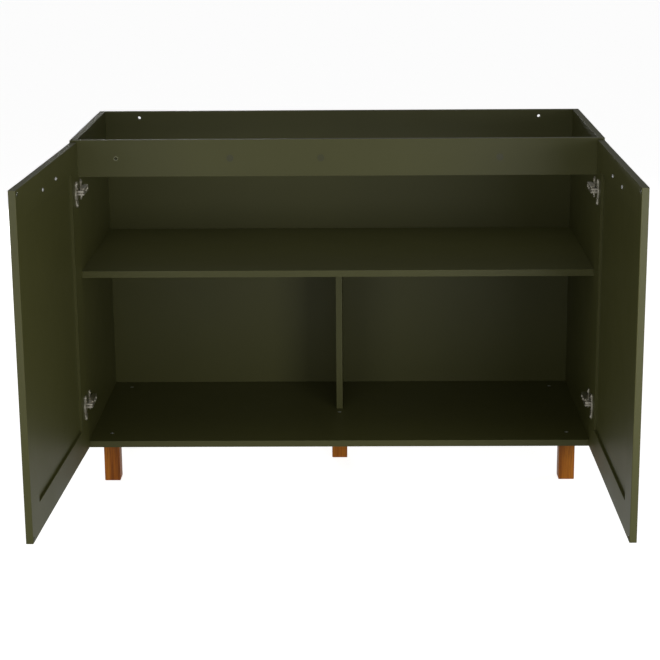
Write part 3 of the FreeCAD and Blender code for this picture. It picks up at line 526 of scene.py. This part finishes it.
BORE_TOLERANCE = 0.0003
LIP_HEIGHT = 0.0002
LIP_CREST, LIP_FOOT = 0.0007, 0.0011  # how far the lip reaches beyond its hole
LIP_CUT = 0.001


def dress(node, finishes, body, width, shortest=LONG_EDGE, segments=2):
    """A CAD node's shape with its long outer edges rounded; a second finish, lighter as rubbed paint and as a
    painted highlight, is for those edges.
    """
    bm = node_bmesh(node)
    rounding = WORN_HIGHLIT_EDGE_FINISH if len(finishes) > 1 else OWN_FINISH
    soften_edges(bm, width, shortest, segments, rounding)
    kind = finishes[0].name.split("_")[-1]
    finished(f"{node}_{kind}", bm, finishes, body, [node])


def dress_drilled(node, holes, radius, materials):
    """A painted rail whose open holes, at (x, z) places, show the raw board inside them."""
    bm = node_bmesh(node)
    soften_edges(bm, BOARD_ROUND, LONG_EDGE, 2, WORN_HIGHLIT_EDGE_FINISH)
    for face in bm.faces:
        middle = face.calc_center_median()
        if any(abs(math.hypot(middle.x - x, middle.z - z) - radius) < BORE_TOLERANCE
               for x, z in holes):
            face.material_index = RAW_FINISH
    finished(f"{node}_drilled", bm, [materials["paint"], materials["edge"], materials["raw"]],
             "carcass", [node])


def add_hole_lip(hole, radius, finish):
    """The thin lip of bare board that a drill leaves round the front rail's open hole."""
    crest, foot = radius + LIP_CREST, radius + LIP_FOOT
    lip = turned([(0, LIP_HEIGHT), (crest, LIP_HEIGHT), (foot, 0), (0, 0)])
    bore = turned([(0, LIP_CUT), (radius, LIP_CUT), (radius, -LIP_CUT), (0, -LIP_CUT)])
    x, z = hole
    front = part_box("front_rail")[0].y
    place = Matrix.Translation((x, front, z)) @ Matrix.Rotation(math.radians(90), 4, "X")
    finished("front_rail_hole_lip", merged([(carved(lip, bore), place)]), [finish], "carcass")


def dress_rails(materials):
    """The front rail with its clearance hole, and the rear rail with its wall-fixing holes."""
    clearance, fixing = MOUNTS["front_rail_hole"], MOUNTS["wall_fixing"]
    x, _, z = clearance["pos_m"]
    clear_hole, clear_radius = (x, z), clearance["dims"]["r_mm"] * MM
    dress_drilled("front_rail", [clear_hole], clear_radius, materials)
    x, _, z = fixing["pos_m"]
    reach = fixing["dims"]["spacing_x_mm"] * MM / 2
    wall_holes = [(x - reach, z), (x + reach, z)]
    dress_drilled("rear_rail", wall_holes, fixing["dims"]["hole_r_mm"] * MM, materials)
    add_hole_lip(clear_hole, clear_radius, materials["raw"])


def dress_back(materials):
    """The back panel: painted inside, raw hardboard behind."""
    bm = node_bmesh("back_panel")
    for face in bm.faces:
        face.material_index = 1 if face.normal.y > 0.5 else 0
    finished("back_panel_hardboard", bm, [materials["paint"], materials["hardboard"]], "carcass",
             ["back_panel"])


def dress_boards(materials):
    """The boards, the legs and the door frames: their own shapes, with the edges broken."""
    painted = [materials["paint"], materials["edge"]]
    for node in BOARDS:
        dress(node, painted, "carcass", BOARD_ROUND)
    dress_rails(materials)
    for node in LEGS:
        dress(node, [materials["leg"]], "carcass", LEG_ROUND, segments=3)
    dress_back(materials)
    for side in INWARD:
        for part in DOOR_FRAME:
            dress(f"{part}_{side}", painted, f"{side}_door", DOOR_ROUND)


# ---------------------------------------------------------------- hinges and bumpers

SHEET_ROUND, SHEET_EDGE = 0.0005, 0.0009  # rounding and shortest rounded edge of bent sheet
CUP_ROUND, CUP_EDGE = 0.0003, 0.003
BUMPER_HEIGHT = 0.0027
# Radius, and height as a share of the bumper's, from its top to its foot.
BUMPER_DOME = [(0, 1), (0.0012, 0.98), (0.0023, 0.9), (0.0032, 0.72), (0.0039, 0.47),
               (0.0043, 0.2), (0.0045, 0)]


def door_home(side):
    """The matrix that takes a point of the closed door, from its pin, to where the door stands."""
    joint = JOINTS[f"{side}_door_hinge"]
    x, y, _ = joint["pos_m"]
    opened = -joint["axis"][2] * joint["range_deg"][0]
    return Matrix.Translation((x, y, 0)) @ Matrix.Rotation(math.radians(opened), 4, "Z")


def dress_hinges(materials):
    """Hinge plates, arms and cups with rounded sheet edges, and every screw that shows."""
    nickel, zinc = [materials["nickel"]], materials["zinc"]
    plate_screw = screw_shape(head_radius=0.004, head_height=0.0015,
                              shank_radius=0.0025, length=0.0135)
    adjuster = screw_shape(head_radius=0.004, head_height=0.0015,
                           shank_radius=0.002, length=0.0115)
    cup_screw = screw_shape(head_radius=0.0035, head_height=0.0012,
                            shank_radius=0.0018, length=0.0122)
    handle_screw = screw_shape(head_radius=0.004, head_height=0.0022,
                               shank_radius=0.002, length=0.0272)
    leg_screw = screw_shape(head_radius=0.005, head_height=0.003,
                            shank_radius=0.0025, length=0.06, countersunk=True)
    set_screws("leg_screws", (0, 0, 1), leg_screw, zinc, "carcass")
    for side, inward in INWARD.items():
        door = f"{side}_door"
        for level in ("upper", "lower"):
            for part in ("plate", "arm"):
                dress(f"hinge_{part}_{level}_{side}", nickel, "carcass",
                      SHEET_ROUND, SHEET_EDGE)
            dress(f"hinge_cup_{level}_{side}", nickel, door, CUP_ROUND, CUP_EDGE)
        for node, shape in (("hinge_plate_screws", plate_screw), ("hinge_adjusters", adjuster)):
            set_screws(f"{node}_{side}", (inward, 0, 0), shape, nickel[0], "carcass")
        home = door_home(side)
        set_screws(f"hinge_cup_screws_{side}", (0, 1, 0), cup_screw, nickel[0], door, home)
        set_screws(f"handle_screws_{side}", (0, 1, 0), handle_screw, zinc, door, home)


def dress_bumpers(finish):
    """The soft clear pads that a closing door lands on."""
    dome = [(radius, share * BUMPER_HEIGHT) for radius, share in BUMPER_DOME]
    pad = turned(dome + [(0, 0)])
    for side in INWARD:
        home = door_home(side)
        node = f"door_bumpers_{side}"
        placed = []
        for points in islands(node):
            low, high = corners([home.inverted() @ point for point in points])
            foot = Vector(((low.x + high.x) / 2, low.y, (low.z + high.z) / 2))
            turn = Matrix.Rotation(math.radians(-90), 4, "X")
            placed.append((pad, home @ Matrix.Translation(foot) @ turn))
        finished(f"{node}_domed", merged(placed), [finish], f"{side}_door",
                 [node])


def colour_nodes(materials):
    """The CAD nodes whose own shape shows get their finish."""
    finishes = {
        "dowels": "beech", "cam_locks": "cast", "cam_bolts": "zinc", "back_panel_nails": "zinc",
        "rail_hole_caps": "cap",
    }
    for side in INWARD:
        finishes.update({f"door_panel_{side}": "paint", f"handle_{side}": "handle",
                         f"hinge_pins_{side}": "zinc"})
    for node, key in finishes.items():
        data = NODES[node].data
        data.materials.clear()
        data.materials.append(materials[key])
        if key != "paint":
            data.shade_smooth()
            data.set_sharp_from_angle(angle=SOFT_FROM)


# ---------------------------------------------------------------- stage and light

FLOOR_REACH = 60.0
FLOOR_COLOUR = (0.86, 0.86, 0.86, 1)
FLOOR_ROUGHNESS, FLOOR_SHINE = 0.8, 0.1
# How strongly the floor and the surround glow for the camera, and what share of it
# reflections see. The surround also lights the cabinet, at AMBIENT.
FLOOR_GLOW, FLOOR_IN_GLOSS = 0.87, 0.36
WORLD_GLOW, WORLD_IN_GLOSS = 1.0, 0.18
AMBIENT = 0.11

FRONT, MIDDLE = (0, -0.2, 0.42), (0, 0, 0.4)
# Each lamp's place, the point that it looks at, its width and its power.
LAMPS = {
    "key": ((1.1, -2.2, 0.6), FRONT, 0.8, 13.5),
    "fill": ((-0.9, -2.2, 0.6), FRONT, 0.8, 5.4),
    "front": ((0, -2.4, 1.7), FRONT, 1.2, 4.6),
    "top": ((0, -0.3, 3.6), MIDDLE, 2.4, 7),
    "rear": ((-0.8, 3.4, 0.5), MIDDLE, 1.0, 40),
    "side_left": ((-3.2, 0.5, 0.45), MIDDLE, 0.8, 24),
    "side_right": ((3.2, 0.5, 0.45), MIDDLE, 0.8, 24),
}


def seen_share(tree, gloss):
    """One for what the camera sees, and a smaller share for what reflections see."""
    path = add(tree, "ShaderNodeLightPath")
    seen = add(tree, "ShaderNodeMath", operation="MULTIPLY_ADD")
    seen.inputs[1].default_value = gloss
    tree.links.new(path.outputs["Is Glossy Ray"], seen.inputs[0])
    tree.links.new(path.outputs["Is Camera Ray"], seen.inputs[2])
    return seen.outputs["Value"]


def make_floor():
    """A wide pale floor that shows near white and keeps the cabinet's soft shadow."""
    bm = bmesh.new()
    bmesh.ops.create_grid(bm, x_segments=1, y_segments=1, size=FLOOR_REACH)
    mesh = bpy.data.meshes.new("floor")
    bm.to_mesh(mesh)
    bm.free()
    floor = bpy.data.objects.new("floor", mesh)
    bpy.context.scene.collection.objects.link(floor)
    material, tree, shader = new_material("pale_floor")
    shader.inputs["Base Color"].default_value = FLOOR_COLOUR
    shader.inputs["Roughness"].default_value = FLOOR_ROUGHNESS
    shader.inputs["Specular IOR Level"].default_value = FLOOR_SHINE
    shader.inputs["Emission Color"].default_value = WHITE
    glow = spread(tree, seen_share(tree, FLOOR_IN_GLOSS), 0.0, FLOOR_GLOW)
    tree.links.new(glow, shader.inputs["Emission Strength"])
    mesh.materials.append(material)


def make_world():
    """A surround that shows white and lights the cabinet softly."""
    world = bpy.data.worlds.new("studio")
    bpy.context.scene.world = world
    world.use_nodes = True
    tree = world.node_tree
    background = tree.nodes["Background"]
    background.inputs["Color"].default_value = WHITE
    glow = spread(tree, seen_share(tree, WORLD_IN_GLOSS), AMBIENT, WORLD_GLOW)
    tree.links.new(glow, background.inputs["Strength"])


def make_lamp(name, place, target, width, power):
    """A soft square lamp that looks at a point."""
    data = bpy.data.lights.new(name, "AREA")
    data.shape = "SQUARE"
    data.size = width
    data.energy = power
    lamp = bpy.data.objects.new(name, data)
    lamp.location = place
    lamp.visible_camera = False
    lamp.rotation_euler = (Vector(target) - Vector(place)).to_track_quat("-Z", "Y").to_euler()
    bpy.context.scene.collection.objects.link(lamp)


materials = make_materials()
make_camera()
make_floor()
make_world()
for lamp_name, setting in LAMPS.items():
    make_lamp(lamp_name, *setting)
dress_boards(materials)
dress_hinges(materials)
dress_bumpers(materials["bumper"])
colour_nodes(materials)

bpy.context.scene.view_settings.view_transform = "Standard"
